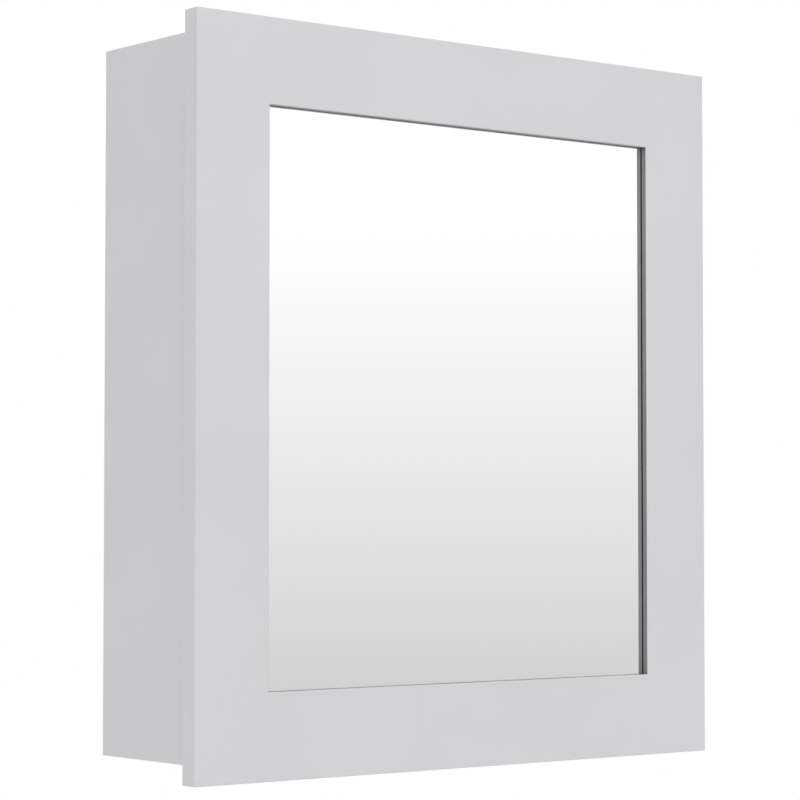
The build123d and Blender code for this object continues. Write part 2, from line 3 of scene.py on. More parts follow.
import bmesh
import bpy
import numpy as np
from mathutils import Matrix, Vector


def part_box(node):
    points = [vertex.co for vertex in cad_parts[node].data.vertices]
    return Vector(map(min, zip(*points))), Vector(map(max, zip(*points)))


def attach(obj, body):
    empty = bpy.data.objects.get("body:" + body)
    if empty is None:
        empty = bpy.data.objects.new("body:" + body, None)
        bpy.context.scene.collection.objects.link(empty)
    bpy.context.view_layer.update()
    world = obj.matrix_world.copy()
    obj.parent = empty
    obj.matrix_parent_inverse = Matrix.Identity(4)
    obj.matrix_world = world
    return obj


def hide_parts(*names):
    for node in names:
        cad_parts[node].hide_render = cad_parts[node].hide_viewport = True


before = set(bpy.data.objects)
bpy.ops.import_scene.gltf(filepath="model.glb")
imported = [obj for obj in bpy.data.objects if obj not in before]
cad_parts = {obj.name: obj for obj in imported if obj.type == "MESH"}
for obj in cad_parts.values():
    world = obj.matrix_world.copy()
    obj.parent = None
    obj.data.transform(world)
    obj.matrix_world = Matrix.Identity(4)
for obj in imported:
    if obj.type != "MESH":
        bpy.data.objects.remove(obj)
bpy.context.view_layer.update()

# The carcass boards and shelves are 15 and 12 mm MDF, sealed and sprayed with white satin
# lacquer before they are put together. The film is even, with a fine orange peel and a sheen
# that drifts a little from place to place.
LACQUER_DEEP = (0.640, 0.634, 0.655, 1.0)
LACQUER_THIN = (0.662, 0.655, 0.674, 1.0)
LACQUER_ROUGHNESS = (0.36, 0.44)
PEEL_SIZE = 0.0024
PEEL_DEPTH = 4e-6
FILM_SIZE = 0.12
SHEEN_SIZE = 0.04


def new_finish(name, **constants):
    """A named material, its node tree and its Principled shader, with fixed sockets set."""
    material = bpy.data.materials.new(name)
    material.use_nodes = True
    shader = material.node_tree.nodes["Principled BSDF"]
    for socket, value in constants.items():
        shader.inputs[socket.replace("_", " ")].default_value = value
    return material, material.node_tree, shader


def wire(tree, kind, inputs, output=0, **settings):
    """Add a node, set or link its inputs, and give back one of its outputs."""
    node = tree.nodes.new("ShaderNode" + kind)
    for key, value in settings.items():
        setattr(node, key, value)
    for key, value in inputs.items():
        if isinstance(value, bpy.types.NodeSocket):
            tree.links.new(value, node.inputs[key])
        else:
            node.inputs[key].default_value = value
    return node.outputs[output]


def clouds(tree, size, detail=2.0, stretch=(1.0, 1.0, 1.0)):
    """Noise about a half, in patches of the given size in metres, stretched along the axes."""
    point = wire(tree, "TexCoord", {}, "Object")
    point = wire(tree, "Mapping", {"Vector": point, "Scale": stretch})
    return wire(tree, "TexNoise", {"Vector": point, "Scale": 1 / size, "Detail": detail})


def spread(tree, value, ends, start=0.35, stop=0.65):
    """The value carried from start..stop to the two ends, and held there."""
    reach = {"From Min": start, "From Max": stop, "To Min": ends[0], "To Max": ends[1]}
    return wire(tree, "MapRange", {"Value": value, **reach})


def tinted(tree, share, first, second):
    """The first colour turning to the second as the share goes from 0 to 1."""
    return wire(tree, "Mix", {0: share, 6: first, 7: second}, 2, data_type="RGBA")


def relief(tree, height, depth):
    """A normal for a surface that stands up by the depth where the height is 1."""
    return wire(tree, "Bump", {"Height": height, "Distance": depth, "Strength": 1.0})


def connect(tree, shader, **sockets):
    """Link each output to the shader's socket of that name."""
    for socket, value in sockets.items():
        tree.links.new(value, shader.inputs[socket.replace("_", " ")])


def satin_lacquer(name):
    """White lacquer: a faint drift of colour and sheen, with orange peel over it."""
    material, tree, shader = new_finish(name)
    film = clouds(tree, FILM_SIZE, detail=3.0)
    connect(
        tree,
        shader,
        Base_Color=tinted(tree, spread(tree, film, (0.0, 1.0)), LACQUER_DEEP, LACQUER_THIN),
        Roughness=spread(tree, clouds(tree, SHEEN_SIZE), LACQUER_ROUGHNESS),
        Normal=relief(tree, clouds(tree, PEEL_SIZE, detail=1.0), PEEL_DEPTH),
    )
    return material


def dress(material, *nodes):
    """Give CAD nodes a finish through their material slots."""
    for node in nodes:
        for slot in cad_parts[node].material_slots:
            slot.material = material


dress(satin_lacquer("satin_lacquer_carcass"), "left_side", "right_side", "top_panel")
dress(satin_lacquer("satin_lacquer_inside"), "bottom_panel", "hanging_rail")
dress(satin_lacquer("satin_lacquer_shelves"), "lower_shelf", "upper_shelf")

# Beech dowels 8 mm thick are glued into the ends of the panels and of the rail. Straight
# flutes let the glue rise past them, and their ends are chamfered so that they start easily.
DOWEL_RADIUS = 0.004
DOWEL_CHAMFER = 0.0009
DOWEL_FLUTES = 20
FLUTE_DEPTH = 0.00025
FLUTE_STEPS = 6
DOWEL_SPIN = 0.7
CARCASS_DOWEL_LENGTH = 0.030
BEECH_DARK = (0.36, 0.215, 0.115, 1.0)
BEECH_LIGHT = (0.56, 0.385, 0.23, 1.0)
BEECH_FIBRE = 0.0011
BEECH_GRAIN = (0.12, 1.0, 1.0)
BEECH_ROUGHNESS = (0.60, 0.75)
BEECH_DEPTH = 0.00006
SHARP_ANGLE = math.radians(35.0)
X_AXIS, Y_AXIS, Z_AXIS = 0, 1, 2


def skin(rows, first, last):
    """A closed surface from a grid of points, with columns that run round. Each four
    neighbours make a face, and the first and last rows are closed by fans to a point each."""
    count, columns = rows.shape[:2]
    grid = np.arange(count * columns).reshape(count, columns)
    beside = np.roll(grid, -1, axis=1)
    quads = np.stack([grid[:-1], grid[1:], beside[1:], beside[:-1]], -1).reshape(-1, 4)
    first_fan = np.stack([np.full(columns, grid.size), grid[0], beside[0]], -1)
    last_fan = np.stack([np.full(columns, grid.size + 1), beside[-1], grid[-1]], -1)
    points = np.vstack([rows.reshape(-1, 3), [first, last]])
    return points, [quads, first_fan, last_fan]


def turned(radii, heights, turn):
    """A surface of revolution about Z, top row first: x is the radius times the cosine of the
    turn, y is the radius times its sine, and z is the height."""
    heights = heights + 0 * radii
    rows = np.stack([radii * np.cos(turn), radii * np.sin(turn), heights], -1)
    return skin(rows, (0, 0, heights[0].mean()), (0, 0, heights[-1].mean()))


def rings(turn, *pairs):
    """Rows of even radius and height from pairs of them."""
    pairs = np.array(pairs)
    return pairs[:, :1] + 0 * turn, pairs[:, 1:] + 0 * turn


def set_out(shape, axis, seats, facing=1, spin=0.0):
    """Copies of a shape with its Z axis laid along another axis, or against it where facing is
    -1. Each is spun about itself a little further than the one before, and put on its seat."""
    points, faces = shape
    count = len(seats)
    angle = spin * np.arange(count)
    facing = facing * np.ones(count)
    cosine, sine = np.cos(angle), np.sin(angle)
    x = points[:, 0] * cosine[:, None] - points[:, 1] * sine[:, None]
    y = points[:, 0] * sine[:, None] + points[:, 1] * cosine[:, None]
    z = points[:, 2] * facing[:, None]
    laid = np.roll(np.stack([x * facing[:, None], y, z], -1), axis + 1, axis=2)
    start = len(points) * np.arange(count)[:, None, None]
    faces = [(face[None] + start).reshape(-1, face.shape[1]) for face in faces]
    return (laid + seats[:, None]).reshape(-1, 3), faces


def add_piece(name, shape, material, body, slot, *nodes):
    """A mesh piece that rides on a body and stands for CAD nodes."""
    points, faces = shape
    mesh = bpy.data.meshes.new(name)
    mesh.from_pydata(points.tolist(), [], [face for part in faces for face in part.tolist()])
    mesh.materials.append(material)
    mesh.shade_smooth()
    mesh.set_sharp_from_angle(angle=SHARP_ANGLE)
    piece = bpy.data.objects.new(name, mesh)
    bpy.context.scene.collection.objects.link(piece)
    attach(piece, body)
    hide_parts(*nodes)
    return piece


def solids(node):
    """Lowest and highest corner of each solid in a CAD node. The three points of a triangle
    take the lowest of their labels, again and again, until one label fills each solid."""
    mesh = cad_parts[node].data
    mesh.calc_loop_triangles()
    places = np.empty(3 * len(mesh.vertices))
    mesh.vertices.foreach_get("co", places)
    corners = np.empty(3 * len(mesh.loop_triangles), dtype=np.int32)
    mesh.loop_triangles.foreach_get("vertices", corners)
    points, same = np.unique(places.reshape(-1, 3).round(6), axis=0, return_inverse=True)
    corners = same.reshape(-1)[corners].reshape(-1, 3)
    label = np.arange(len(points))
    settled = False
    while not settled:
        lower = label.copy()
        np.minimum.at(lower, corners, label[corners].min(axis=1, keepdims=True))
        lower = lower[lower]
        settled = bool((lower == label).all())
        label = lower
    kinds, which = np.unique(label, return_inverse=True)
    low = np.full((len(kinds), 3), np.inf)
    high = np.full((len(kinds), 3), -np.inf)
    np.minimum.at(low, which, points)
    np.maximum.at(high, which, points)
    return low, high


def middles(node):
    """Middle of each solid in a CAD node."""
    low, high = solids(node)
    return (low + high) / 2


def fluted_dowel(length):
    """A dowel along Z: the radius dips at each flute by a squared cosine wave of the turn."""
    turn = np.linspace(0, 2 * math.pi, DOWEL_FLUTES * FLUTE_STEPS, endpoint=False)
    flute = FLUTE_DEPTH * (0.5 + 0.5 * np.cos(DOWEL_FLUTES * turn)) ** 2
    end = length / 2
    inside = end - DOWEL_CHAMFER
    heights = np.array([end, inside, inside / 3, -inside / 3, -inside, -end])[:, None]
    cut = np.array([DOWEL_CHAMFER, 0, 0, 0, 0, DOWEL_CHAMFER])[:, None]
    return turned(DOWEL_RADIUS - np.maximum(flute, cut), heights, turn)


beech, tree, shader = new_finish("beech")
fibre = clouds(tree, BEECH_FIBRE, detail=3.0, stretch=BEECH_GRAIN)
connect(
    tree,
    shader,
    Base_Color=tinted(tree, spread(tree, fibre, (0.0, 1.0)), BEECH_DARK, BEECH_LIGHT),
    Roughness=spread(tree, fibre, BEECH_ROUGHNESS),
    Normal=relief(tree, fibre, BEECH_DEPTH),
)
dowel = fluted_dowel(CARCASS_DOWEL_LENGTH)
dowels = set_out(dowel, X_AXIS, middles("carcass_dowels"), spin=DOWEL_SPIN)
add_piece("fluted_carcass_dowels", dowels, beech, "cabinet", "beech", "carcass_dowels")

# A cam fitting draws each corner tight. Its bolt is zinc-plated steel with a coarse thread for
# the side board, a collar that stops on the board, a neck, and a head that the cam grips.
BOLT_HEAD_RADIUS = 0.0033
BOLT_HEAD_LENGTH = 0.003
BOLT_HEAD_ROUND = 0.0005
BOLT_NECK_RADIUS = 0.0022
BOLT_NECK_END = 0.024
BOLT_COLLAR_RADIUS = 0.0036
BOLT_COLLAR_LENGTH = 0.0015
BOLT_THREAD_RADIUS = 0.0025
BOLT_THREAD_LENGTH = 0.011
BOLT_THREAD_DEPTH = 0.0007
BOLT_PITCH = 0.0022
BOLT_TIP = 0.002
BOLT_SPIN = 0.9
THREAD_STEPS = 10
THREAD_TIP_SHARE = 0.12
ROUND_COLUMNS = 40
ZINC_BLUE = (0.56, 0.60, 0.66, 1.0)
ZINC_GREY = (0.70, 0.71, 0.70, 1.0)
ZINC_FLOW = 0.006
ZINC_SPECK = 0.0012
ZINC_ROUGHNESS = (0.24, 0.38)
PLATE_GRAIN = 0.0004
PLATE_DEPTH = 3e-6


def thread(turn, top, length, crest, depth, pitch, tip):
    """Rows of a screw thread down from a height. The radius falls from the crest by the depth
    times a triangle wave of the height in pitches plus the share of a turn, and over the tip's
    length it shrinks evenly to a small share of itself."""
    down = np.linspace(0, length, int(length / pitch * THREAD_STEPS) + 1)[:, None]
    phase = (turn / (2 * math.pi) - down / pitch) % 1.0
    radii = crest - depth * np.abs(2 * phase - 1)
    run_out = np.clip((length - down) / tip, 0.0, 1.0)
    taper = THREAD_TIP_SHARE + (1 - THREAD_TIP_SHARE) * run_out
    return radii * taper, top - down + 0 * turn


zinc_plate, tree, shader = new_finish("zinc_plate", Metallic=1.0)
flow = clouds(tree, ZINC_FLOW)
connect(
    tree,
    shader,
    Base_Color=tinted(tree, spread(tree, flow, (0.0, 1.0)), ZINC_BLUE, ZINC_GREY),
    Roughness=spread(tree, clouds(tree, ZINC_SPECK), ZINC_ROUGHNESS),
    Normal=relief(tree, clouds(tree, PLATE_GRAIN, detail=1.0), PLATE_DEPTH),
)
round_turn = np.linspace(0, 2 * math.pi, ROUND_COLUMNS, endpoint=False)
head_end = BOLT_NECK_END + BOLT_HEAD_LENGTH / 2
head_start = BOLT_NECK_END - BOLT_HEAD_LENGTH / 2
upper_rows = rings(
    round_turn,
    (BOLT_HEAD_RADIUS - BOLT_HEAD_ROUND, head_end),
    (BOLT_HEAD_RADIUS, head_end - BOLT_HEAD_ROUND),
    (BOLT_HEAD_RADIUS, head_start + BOLT_HEAD_ROUND),
    (BOLT_HEAD_RADIUS - BOLT_HEAD_ROUND, head_start),
    (BOLT_NECK_RADIUS, head_start),
    (BOLT_NECK_RADIUS, BOLT_COLLAR_LENGTH),
    (BOLT_COLLAR_RADIUS, BOLT_COLLAR_LENGTH),
    (BOLT_COLLAR_RADIUS, 0),
)
thread_rows = thread(
    round_turn,
    0,
    BOLT_THREAD_LENGTH,
    BOLT_THREAD_RADIUS,
    BOLT_THREAD_DEPTH,
    BOLT_PITCH,
    BOLT_TIP,
)
radii, heights = (np.vstack(pair) for pair in zip(upper_rows, thread_rows))
low, high = solids("cam_bolts")
at_left = low[:, X_AXIS] < 0
collars = (low[:, X_AXIS] + BOLT_THREAD_LENGTH, high[:, X_AXIS] - BOLT_THREAD_LENGTH)
seats = (low + high) / 2
seats[:, X_AXIS] = np.where(at_left, *collars)
inward = np.where(at_left, 1, -1)
bolts = set_out(turned(radii, heights, round_turn), X_AXIS, seats, inward, spin=BOLT_SPIN)
add_piece("threaded_cam_bolts", bolts, zinc_plate, "cabinet", "zinc_steel", "cam_bolts")

# The cam itself is a zinc casting in a round pocket in the panel, with a cross slot for the
# driver and a jaw round the bolt's head. Its edges are soft from the mould, its skin is grainy.
CASTING_DARK = (0.36, 0.37, 0.385, 1.0)
CASTING_LIGHT = (0.50, 0.51, 0.52, 1.0)
CASTING_GRAIN = 0.0007
CASTING_ROUGHNESS = (0.42, 0.60)
CASTING_DEPTH = 0.00003
CASTING_ROUND = 0.0002
JOIN_DISTANCE = 1e-6
FLAT_ANGLE = math.radians(1.0)
BEVEL_ANGLE = math.radians(40.0)
BEVEL_STEPS = 2


def softened(name, node, width, material, body):
    """A copy of a CAD node with its triangles joined and its flat faces made whole, whose
    sharp edges are rounded by a bevel of the width. It stands for the node."""
    shape = bmesh.new()
    shape.from_mesh(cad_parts[node].data)
    bmesh.ops.remove_doubles(shape, verts=shape.verts, dist=JOIN_DISTANCE)
    bmesh.ops.dissolve_limit(
        shape, angle_limit=FLAT_ANGLE, verts=shape.verts, edges=shape.edges
    )
    mesh = bpy.data.meshes.new(name)
    shape.to_mesh(mesh)
    shape.free()
    imported_normals = mesh.attributes.get("custom_normal")
    if imported_normals:
        mesh.attributes.remove(imported_normals)
    mesh.materials.append(material)
    mesh.shade_smooth()
    mesh.set_sharp_from_angle(angle=BEVEL_ANGLE)
    piece = bpy.data.objects.new(name, mesh)
    bpy.context.scene.collection.objects.link(piece)
    bevel = piece.modifiers.new("arris", "BEVEL")
    bevel.width = width
    bevel.segments = BEVEL_STEPS
    bevel.limit_method = "ANGLE"
    bevel.angle_limit = BEVEL_ANGLE
    bevel.harden_normals = True
    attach(piece, body)
    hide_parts(node)
    return piece


zinc_casting, tree, shader = new_finish("zinc_casting", Metallic=1.0)
grain = clouds(tree, CASTING_GRAIN, detail=3.0)
connect(
    tree,
    shader,
    Base_Color=tinted(tree, spread(tree, grain, (0.0, 1.0)), CASTING_DARK, CASTING_LIGHT),
    Roughness=spread(tree, grain, CASTING_ROUGHNESS),
    Normal=relief(tree, grain, CASTING_DEPTH),
)
softened("cast_cam_discs", "cam_discs", CASTING_ROUND, zinc_casting, "cabinet")

# The back panel is 3 mm hardboard with a white foil inside. Its rear is bare brown board that
# keeps the print of the press mesh, and its edges are cut fibre.
FIBRE_DARK = (0.145, 0.084, 0.045, 1.0)
FIBRE_LIGHT = (0.235, 0.146, 0.082, 1.0)
FIBRE_LAY = (1.0, 1.0, 0.55)
FLECK_SHARE = 0.75
FIBRE_DRIFT = 0.06
DRIFT_REACH = (0.3, 0.7)
BACK_FLECK = 0.0011
BACK_NAP = 0.0009
FOIL = (0.63, 0.63, 0.64, 1.0)
FOIL_THICKNESS = 0.00015
FOIL_ROUGHNESS = 0.42
FIBRE_ROUGHNESS = 0.82
MESH_PITCH = 0.0021
MESH_DEPTH = 0.00006


def along(tree, axis):
    """One of the Object coordinates, in metres."""
    point = wire(tree, "TexCoord", {}, "Object")
    return wire(tree, "SeparateXYZ", {0: point}, axis)


def sums(tree, operation, *values):
    """One step of arithmetic on outputs or numbers."""
    return wire(tree, "Math", dict(enumerate(values)), operation=operation)


def ripple(tree, axis, pitch):
    """Waves from -1 to 1 across one axis, one to each pitch."""
    return sums(tree, "SINE", sums(tree, "MULTIPLY", along(tree, axis), 2 * math.pi / pitch))


def fibre_board(tree, fleck):
    """Colour of pressed brown fibre: dark and light flecks, with a slow drift under them."""
    flecks = clouds(tree, fleck, detail=4.0, stretch=FIBRE_LAY)
    flecks = spread(tree, flecks, (0.0, FLECK_SHARE))
    drift = spread(tree, clouds(tree, FIBRE_DRIFT), (0.0, 1 - FLECK_SHARE), *DRIFT_REACH)
    return tinted(tree, sums(tree, "ADD", flecks, drift), FIBRE_DARK, FIBRE_LIGHT)


foiled_board, tree, shader = new_finish("foiled_hardboard")
behind_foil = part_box("back_panel")[0].y + FOIL_THICKNESS
bare = sums(tree, "GREATER_THAN", along(tree, "Y"), behind_foil)
wire_print = sums(tree, "MULTIPLY", ripple(tree, "X", MESH_PITCH), ripple(tree, "Z", MESH_PITCH))
nap = sums(tree, "ADD", wire_print, clouds(tree, BACK_NAP, detail=3.0))
connect(
    tree,
    shader,
    Base_Color=tinted(tree, bare, FOIL, fibre_board(tree, BACK_FLECK)),
    Roughness=spread(tree, bare, (FOIL_ROUGHNESS, FIBRE_ROUGHNESS), 0.0, 1.0),
    Normal=relief(tree, sums(tree, "MULTIPLY", nap, bare), MESH_DEPTH),
)
dress(foiled_board, "back_panel")

# Thin nails hold the back panel in its rabbet. Each has a small flat head, driven flush with
# the board, a plain shank and a cut point.
NAIL_TOP_RADIUS = 0.000595
NAIL_HEAD_RADIUS = 0.0007
NAIL_HEAD_ROUND = 0.00012
NAIL_HEAD_RIM = 0.00042
NAIL_HEAD_LENGTH = 0.0006
NAIL_SHANK_RADIUS = 0.0005
NAIL_LENGTH = 0.016
NAIL_POINT = 0.0014
NAIL_TIP_RADIUS = 0.00005
NAIL_COLUMNS = 16
NAIL_SPIN = 0.4

nail_turn = np.linspace(0, 2 * math.pi, NAIL_COLUMNS, endpoint=False)
radii, heights = rings(
    nail_turn,
    (NAIL_TOP_RADIUS, 0),
    (NAIL_HEAD_RADIUS, -NAIL_HEAD_ROUND),
    (NAIL_HEAD_RADIUS, -NAIL_HEAD_RIM),
    (NAIL_SHANK_RADIUS, -NAIL_HEAD_LENGTH),
    (NAIL_SHANK_RADIUS, NAIL_POINT - NAIL_LENGTH),
    (NAIL_TIP_RADIUS, -NAIL_LENGTH),
)


def seats_on(node, axis):
    """Middle of the highest face of each solid in a CAD node, seen along an axis."""
    low, high = solids(node)
    seats = (low + high) / 2
    seats[:, axis] = high[:, axis]
    return seats


nail = turned(radii, heights, nail_turn)
nails = set_out(nail, Y_AXIS, seats_on("back_panel_nails", Y_AXIS), spin=NAIL_SPIN)
add_piece("headed_nails", nails, zinc_plate, "cabinet", "zinc_steel", "back_panel_nails")

# Each shelf lies on four steel pins with a bent seat, pushed into the bored holes. They are
# satin nickel, as the hinges are: a thin plate over steel that was brushed along its length.
NICKEL_WARM = (0.58, 0.55, 0.50, 1.0)
NICKEL_PALE = (0.70, 0.68, 0.64, 1.0)
NICKEL_DRIFT = 0.012
STROKE_SIZE = 0.0006
STROKE_STRETCH = (1.0, 1.0, 0.04)
STROKE_DEPTH = 4e-6
NICKEL_ROUGHNESS = (0.26, 0.42)
PIN_ROUND = 0.0003

satin_nickel, tree, shader = new_finish("satin_nickel", Metallic=1.0)
strokes = clouds(tree, STROKE_SIZE, stretch=STROKE_STRETCH)
drift = spread(tree, clouds(tree, NICKEL_DRIFT), (0.0, 1.0))
connect(
    tree,
    shader,
    Base_Color=tinted(tree, drift, NICKEL_WARM, NICKEL_PALE),
    Roughness=spread(tree, strokes, NICKEL_ROUGHNESS),
    Normal=relief(tree, strokes, STROKE_DEPTH),
)
softened("bent_shelf_pins", "shelf_pins", PIN_ROUND, satin_nickel, "cabinet")

# Two butt hinges carry the door. Their leaves are stamped from 1.2 mm steel, rolled into five
# interleaved knuckles and let in flush, one in the right side and one in the door's back.
LEAF_ROUND = 0.00015

for place in ("upper", "lower"):
    for leaf, body in (("cabinet", "cabinet"), ("door", "door")):
        node = f"{place}_hinge_{leaf}_leaf"
        softened("stamped_" + node, node, LEAF_ROUND, satin_nickel, body)

# The hinge pins are turned steel with a domed tip at each end that keeps them in the barrel.
PIN_BAR_RADIUS = 0.00175
PIN_TIP_RADIUS = 0.0025
PIN_TIP_HEIGHT = 0.0016
PIN_TIP_RIM = 0.0004
DOME_STEPS = 8

for place in ("upper", "lower"):
    node = f"{place}_hinge_pin"
    low, high = solids(node)
    half_length = (high[0, Z_AXIS] - low[0, Z_AXIS]) / 2
    shoulder = half_length - PIN_TIP_HEIGHT
    rise = np.linspace(math.pi / 2, 0, DOME_STEPS, endpoint=False)[1:]
    dome_height = PIN_TIP_HEIGHT - PIN_TIP_RIM
    dome = np.stack(
        [PIN_TIP_RADIUS * np.cos(rise), half_length - dome_height * (1 - np.sin(rise))], -1
    )
    rim = [(PIN_TIP_RADIUS, shoulder + PIN_TIP_RIM), (PIN_TIP_RADIUS, shoulder)]
    upper_half = [*dome.tolist(), *rim, (PIN_BAR_RADIUS, shoulder)]
    lower_half = [(radius, -height) for radius, height in reversed(upper_half)]
    radii, heights = rings(round_turn, *upper_half, *lower_half)
    pin = set_out(turned(radii, heights, round_turn), Z_AXIS, (low + high) / 2)
    add_piece("domed_" + node, pin, satin_nickel, "cabinet", "nickel_steel", node)

# The leaves are held by countersunk wood screws with a cross recess, three to a leaf, whose
# heads lie flush in the stamped plate.
SCREW_COLUMNS = 64
SCREW_CROWDING = 0.7
HEAD_ROWS = 14
RECESS_REACH = 0.62
RECESS_WIDTH = 0.13
RECESS_DEPTH = 0.0011
RECESS_DRAFT = 0.06
RECESS_FALL = 0.6
MIDDLE_RADIUS = 1e-5
LEAF_HEAD_RADIUS = 0.0026
LEAF_HEAD_CROWN = 0.00016
LEAF_HEAD_RIM = 0.00024
SHANK_RADIUS = 0.0014
SHANK_PLAIN = 0.001
THREAD_DEPTH = 0.0004
THREAD_PITCH = 0.0011
SCREW_TIP = 0.0022
LEAF_SCREW_LENGTH = 0.012
LEAF_SCREW_SPIN = 0.55


def cross_head(turn, radius, crown):
    """Rows of a screw's head. The height falls towards the rim by a third power of the share
    of the radius, and by a cross recess: two arms of even width, deepest at the middle."""
    share = np.linspace(0, 1, HEAD_ROWS + 1)[1:, None]
    x, y = np.abs(share * np.cos(turn)), np.abs(share * np.sin(turn))
    arm = np.clip((RECESS_WIDTH + RECESS_DRAFT - np.minimum(x, y)) / RECESS_DRAFT, 0, 1)
    fall = np.clip(1 - np.maximum(x, y) / RECESS_REACH, 0, 1) ** RECESS_FALL
    heights = -crown * share**3 - RECESS_DEPTH * arm * fall
    return share * radius + 0 * turn, heights


def wood_screw(head_radius, crown, rim, length):
    """A screw along Z with the top of its head at 0: head, shoulder to the shank and thread.
    The columns crowd together near the arms of the recess, where the turn's slope is least."""
    turn = np.linspace(0, 2 * math.pi, SCREW_COLUMNS, endpoint=False)
    turn = turn - SCREW_CROWDING / 4 * np.sin(4 * turn)
    head = cross_head(turn, head_radius, crown)
    shoulder = rings(turn, *rim, (SHANK_RADIUS, rim[-1][1] - SHANK_PLAIN))
    top = rim[-1][1] - SHANK_PLAIN
    winding = thread(turn, top, length + top, SHANK_RADIUS, THREAD_DEPTH, THREAD_PITCH, SCREW_TIP)
    radii, heights = (np.vstack(parts) for parts in zip(head, shoulder, winding))
    radii[0], heights[0] = MIDDLE_RADIUS, heights[0].mean()
    return turned(radii, heights, turn)


cone = LEAF_HEAD_RADIUS - SHANK_RADIUS
leaf_screw = wood_screw(
    LEAF_HEAD_RADIUS,
    LEAF_HEAD_CROWN,
    [(LEAF_HEAD_RADIUS, -LEAF_HEAD_RIM), (SHANK_RADIUS, -cone)],
    LEAF_SCREW_LENGTH,
)
for body, axis in (("cabinet", X_AXIS), ("door", Y_AXIS)):
    node = f"{body}_leaf_screws"
    screws = set_out(leaf_screw, axis, seats_on(node, axis), spin=LEAF_SCREW_SPIN)
    add_piece("driven_" + node, screws, satin_nickel, body, "nickel_steel", node)

# The magnetic catch is a white moulding with two ears, screwed inside the left side. It holds
# a dark ferrite block between two steel pole plates that stand proud of it.
MOULDING_DEEP = (0.60, 0.60, 0.57, 1.0)
MOULDING_PALE = (0.66, 0.66, 0.63, 1.0)
MOULDING_DRIFT = 0.01
SPARK_SIZE = 0.0005
SPARK_DEPTH = 0.00001
MOULDING_ROUGHNESS = (0.38, 0.55)
FERRITE_BLACK = (0.018, 0.018, 0.019, 1.0)
FERRITE_GREY = (0.045, 0.044, 0.044, 1.0)
FERRITE_GRAIN = 0.0004
FERRITE_DEPTH = 0.00002
FERRITE_ROUGHNESS = (0.50, 0.75)
HOUSING_ROUND = 0.0004
POLE_ROUND = 0.0002
MAGNET_ROUND = 0.0003
PAN_HEAD_RADIUS = 0.0027
PAN_HEAD_HEIGHT = 0.0015
PAN_CROWN = 0.0008
PAN_SCREW_LENGTH = 0.0115
PAN_SCREW_SPIN = 0.8

catch_moulding, tree, shader = new_finish("catch_moulding")
spark = clouds(tree, SPARK_SIZE)
drift = spread(tree, clouds(tree, MOULDING_DRIFT), (0.0, 1.0))
connect(
    tree,
    shader,
    Base_Color=tinted(tree, drift, MOULDING_DEEP, MOULDING_PALE),
    Roughness=spread(tree, spark, MOULDING_ROUGHNESS),
    Normal=relief(tree, spark, SPARK_DEPTH),
)
softened(
    "moulded_catch", "catch_housing", HOUSING_ROUND, catch_moulding, "cabinet"
)
ferrite, tree, shader = new_finish("ferrite")
dust = clouds(tree, FERRITE_GRAIN, detail=3.0)
connect(
    tree,
    shader,
    Base_Color=tinted(tree, spread(tree, dust, (0.0, 1.0)), FERRITE_BLACK, FERRITE_GREY),
    Roughness=spread(tree, dust, FERRITE_ROUGHNESS),
    Normal=relief(tree, dust, FERRITE_DEPTH),
)
softened("ferrite_block", "catch_magnet", MAGNET_ROUND, ferrite, "cabinet")
softened("pole_plates", "catch_pole_plates", POLE_ROUND, zinc_plate, "cabinet")
pan_rim = [(PAN_HEAD_RADIUS, -PAN_HEAD_HEIGHT), (SHANK_RADIUS, -PAN_HEAD_HEIGHT)]
pan_screw = wood_screw(PAN_HEAD_RADIUS, PAN_CROWN, pan_rim, PAN_SCREW_LENGTH)
screws = set_out(pan_screw, X_AXIS, seats_on("catch_screws", X_AXIS), spin=PAN_SCREW_SPIN)
add_piece("driven_catch_screws", screws, zinc_plate, "cabinet", "zinc_steel", "catch_screws")

# The door is a frame of 16 mm MDF stiles and rails with the carcass's lacquer. The reveal round
# the mirror is painted grey, as painted shade for the recess round the glass. The back of the lip
# over the tape is painted near-black, as painted shade for the narrow gap between lip and glass.
REVEAL_PAINTED_SHADE = (0.185, 0.185, 0.19, 1.0)
REVEAL_EDGE = 0.0001
LIP_BACK_PAINTED_SHADE = (0.008, 0.008, 0.008, 1.0)
LIP_BACK_WIDTH = 0.0078
DOOR_DOWEL_LENGTH = 0.040

opening_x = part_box("right_stile")[0].x
opening_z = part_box("top_rail")[0].z
lip_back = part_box("glazing_tape")[0].y
frame_lacquer_with_painted_shade = satin_lacquer("satin_lacquer_door_painted_shade")
tree = frame_lacquer_with_painted_shade.node_tree
shader = tree.nodes["Principled BSDF"]
beside = sums(tree, "SUBTRACT", sums(tree, "ABSOLUTE", along(tree, "X")), opening_x)
above = sums(tree, "SUBTRACT", sums(tree, "ABSOLUTE", along(tree, "Z")), opening_z)
outside = sums(tree, "MAXIMUM", beside, above)
# Painted shade: the reveal faces take a flat grey in place of the lacquer's colour.
in_reveal_painted_shade = spread(tree, outside, (1.0, 0.0), REVEAL_EDGE, 3 * REVEAL_EDGE)
